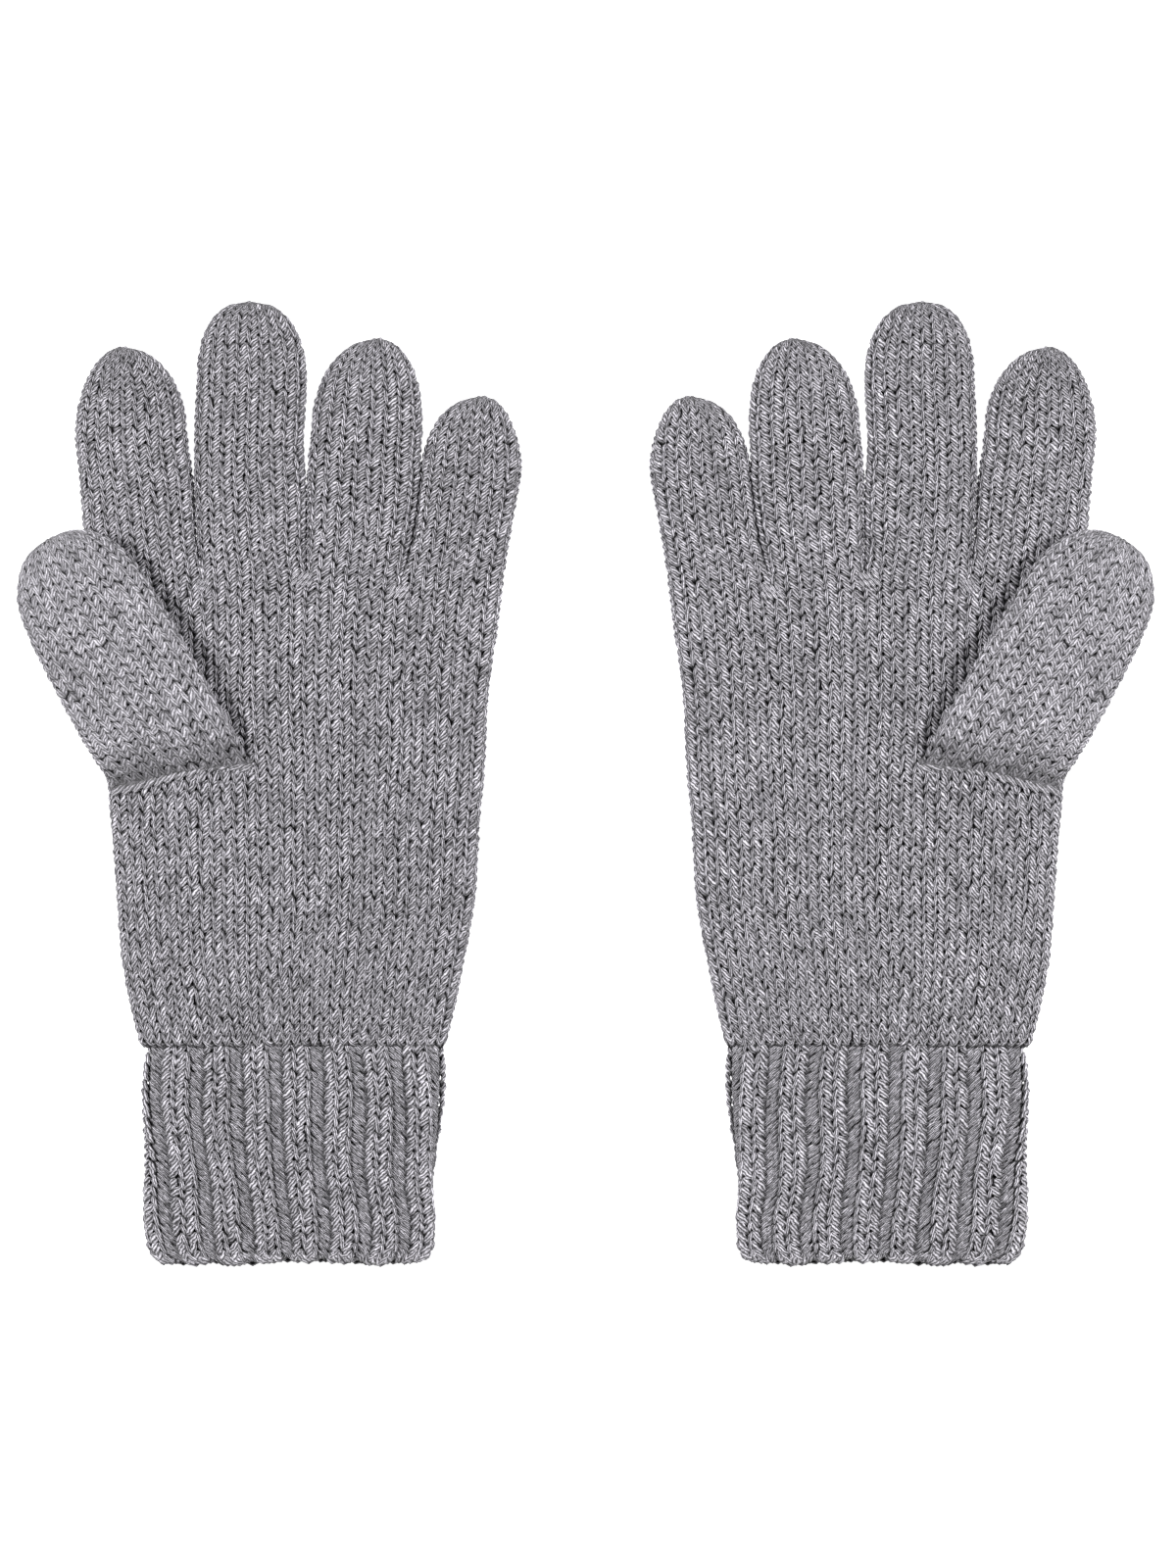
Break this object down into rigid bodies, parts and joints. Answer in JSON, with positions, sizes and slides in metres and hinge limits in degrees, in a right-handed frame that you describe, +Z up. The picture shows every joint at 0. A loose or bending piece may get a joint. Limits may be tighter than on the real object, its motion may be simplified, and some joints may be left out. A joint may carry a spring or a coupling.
{
  "type": "pair of knitted gloves",
  "caption": "Pair of knitted gloves with full fingers, lying palm up: ribbed cuffs, plain-knit hands and tapered fingers, and thumbs folded over the palms.",
  "frame": {"origin": "on the table, under the middle of the pair", "axes": "+X across the pair from the left glove to the right glove, +Y from the cuffs to the fingertips, +Z up out of the palms"},
  "size_m": [0.2874, 0.246, 0.0228],
  "materials": {
    "plain_knit": "heather grey yarn in plain knit",
    "rib_knit": "heather grey yarn in two by two rib",
    "thumb_knit": "heather grey yarn in plain knit, brushed",
    "join_yarn": "heather grey yarn, drawn tight"
  },
  "bodies": {
    "left_palm": {"left_hand": "plain_knit", "left_cuff_join": "join_yarn", "left_index_root": "plain_knit", "left_thumb_join": "join_yarn", "left_index_middle_join": "join_yarn", "left_middle_ring_join": "join_yarn", "left_ring_little_join": "join_yarn"},
    "left_wrist_cuff": {"left_cuff": "rib_knit"},
    "left_index_lower": {"left_index_base": "plain_knit"},
    "left_index_upper": {"left_index_tip": "plain_knit", "left_index_closing": "join_yarn"},
    "left_middle_lower": {"left_middle_base": "plain_knit"},
    "left_middle_upper": {"left_middle_tip": "plain_knit", "left_middle_closing": "join_yarn"},
    "left_ring_lower": {"left_ring_base": "plain_knit"},
    "left_ring_upper": {"left_ring_tip": "plain_knit", "left_ring_closing": "join_yarn"},
    "left_little_lower": {"left_little_base": "plain_knit"},
    "left_little_upper": {"left_little_tip": "plain_knit", "left_little_closing": "join_yarn"},
    "left_thumb_lower": {"left_thumb_base": "thumb_knit"},
    "left_thumb_upper": {"left_thumb_tip": "thumb_knit", "left_thumb_closing": "join_yarn"},
    "right_palm": {"right_hand": "plain_knit", "right_cuff_join": "join_yarn", "right_index_root": "plain_knit", "right_thumb_join": "join_yarn", "right_index_middle_join": "join_yarn", "right_middle_ring_join": "join_yarn", "right_ring_little_join": "join_yarn"},
    "right_wrist_cuff": {"right_cuff": "rib_knit"},
    "right_index_lower": {"right_index_base": "plain_knit"},
    "right_index_upper": {"right_index_tip": "plain_knit", "right_index_closing": "join_yarn"},
    "right_middle_lower": {"right_middle_base": "plain_knit"},
    "right_middle_upper": {"right_middle_tip": "plain_knit", "right_middle_closing": "join_yarn"},
    "right_ring_lower": {"right_ring_base": "plain_knit"},
    "right_ring_upper": {"right_ring_tip": "plain_knit", "right_ring_closing": "join_yarn"},
    "right_little_lower": {"right_little_base": "plain_knit"},
    "right_little_upper": {"right_little_tip": "plain_knit", "right_little_closing": "join_yarn"},
    "right_thumb_lower": {"right_thumb_base": "thumb_knit"},
    "right_thumb_upper": {"right_thumb_tip": "thumb_knit", "right_thumb_closing": "join_yarn"}
  },
  "joints": [
    {"name": "left_wrist", "type": "hinge", "parent": "left_palm", "child": "left_wrist_cuff", "pos_m": [-0.07412, -0.066, 0.012], "axis": [-1, 0, 0], "range_deg": [0, 60]},
    {"name": "left_index_knuckle", "type": "hinge", "parent": "left_palm", "child": "left_index_lower", "pos_m": [-0.11362, 0.065, 0.012], "axis": [1, 0, 0], "range_deg": [0, 90]},
    {"name": "left_index_middle_joint", "type": "hinge", "parent": "left_index_lower", "child": "left_index_upper", "pos_m": [-0.11472, 0.081, 0.012], "axis": [1, 0, 0], "range_deg": [0, 90]},
    {"name": "left_middle_knuckle", "type": "hinge", "parent": "left_palm", "child": "left_middle_lower", "pos_m": [-0.08417, 0.049, 0.012], "axis": [1, 0, 0], "range_deg": [0, 90]},
    {"name": "left_middle_middle_joint", "type": "hinge", "parent": "left_middle_lower", "child": "left_middle_upper", "pos_m": [-0.08491, 0.084, 0.012], "axis": [1, 0, 0], "range_deg": [0, 90]},
    {"name": "left_ring_knuckle", "type": "hinge", "parent": "left_palm", "child": "left_ring_lower", "pos_m": [-0.05887, 0.049, 0.012], "axis": [1, 0, 0], "range_deg": [0, 90]},
    {"name": "left_ring_middle_joint", "type": "hinge", "parent": "left_ring_lower", "child": "left_ring_upper", "pos_m": [-0.05705, 0.08, 0.012], "axis": [1, 0, 0], "range_deg": [0, 90]},
    {"name": "left_little_knuckle", "type": "hinge", "parent": "left_palm", "child": "left_little_lower", "pos_m": [-0.03267, 0.049, 0.012], "axis": [1, 0, 0], "range_deg": [0, 90]},
    {"name": "left_little_middle_joint", "type": "hinge", "parent": "left_little_lower", "child": "left_little_upper", "pos_m": [-0.02993, 0.076, 0.012], "axis": [1, 0, 0], "range_deg": [0, 90]},
    {"name": "left_thumb_root", "type": "hinge", "parent": "left_palm", "child": "left_thumb_lower", "pos_m": [-0.10262, 0.00225, 0.0124], "axis": [0.9854, 0.1702, 0], "range_deg": [0, 90]},
    {"name": "left_thumb_joint", "type": "hinge", "parent": "left_thumb_lower", "child": "left_thumb_upper", "pos_m": [-0.12008, 0.03374, 0.0228], "axis": [0.8746, 0.4848, 0], "range_deg": [0, 70]},
    {"name": "right_glove_lift", "type": "slide", "parent": "left_palm", "child": "right_palm", "axis": [0, 0, 1], "range_m": [0, 0.1]},
    {"name": "right_wrist", "type": "hinge", "parent": "right_palm", "child": "right_wrist_cuff", "pos_m": [0.07412, -0.066, 0.012], "axis": [-1, 0, 0], "range_deg": [0, 60]},
    {"name": "right_index_knuckle", "type": "hinge", "parent": "right_palm", "child": "right_index_lower", "pos_m": [0.11362, 0.065, 0.012], "axis": [1, 0, 0], "range_deg": [0, 90]},
    {"name": "right_index_middle_joint", "type": "hinge", "parent": "right_index_lower", "child": "right_index_upper", "pos_m": [0.11472, 0.081, 0.012], "axis": [1, 0, 0], "range_deg": [0, 90]},
    {"name": "right_middle_knuckle", "type": "hinge", "parent": "right_palm", "child": "right_middle_lower", "pos_m": [0.08417, 0.049, 0.012], "axis": [1, 0, 0], "range_deg": [0, 90]},
    {"name": "right_middle_middle_joint", "type": "hinge", "parent": "right_middle_lower", "child": "right_middle_upper", "pos_m": [0.08491, 0.084, 0.012], "axis": [1, 0, 0], "range_deg": [0, 90]},
    {"name": "right_ring_knuckle", "type": "hinge", "parent": "right_palm", "child": "right_ring_lower", "pos_m": [0.05887, 0.049, 0.012], "axis": [1, 0, 0], "range_deg": [0, 90]},
    {"name": "right_ring_middle_joint", "type": "hinge", "parent": "right_ring_lower", "child": "right_ring_upper", "pos_m": [0.05705, 0.08, 0.012], "axis": [1, 0, 0], "range_deg": [0, 90]},
    {"name": "right_little_knuckle", "type": "hinge", "parent": "right_palm", "child": "right_little_lower", "pos_m": [0.03267, 0.049, 0.012], "axis": [1, 0, 0], "range_deg": [0, 90]},
    {"name": "right_little_middle_joint", "type": "hinge", "parent": "right_little_lower", "child": "right_little_upper", "pos_m": [0.02993, 0.076, 0.012], "axis": [1, 0, 0], "range_deg": [0, 90]},
    {"name": "right_thumb_root", "type": "hinge", "parent": "right_palm", "child": "right_thumb_lower", "pos_m": [0.10262, 0.00225, 0.0124], "axis": [0.9854, -0.1702, 0], "range_deg": [0, 90]},
    {"name": "right_thumb_joint", "type": "hinge", "parent": "right_thumb_lower", "child": "right_thumb_upper", "pos_m": [0.12008, 0.03374, 0.0228], "axis": [0.8746, -0.4848, 0], "range_deg": [0, 70]}
  ]
}
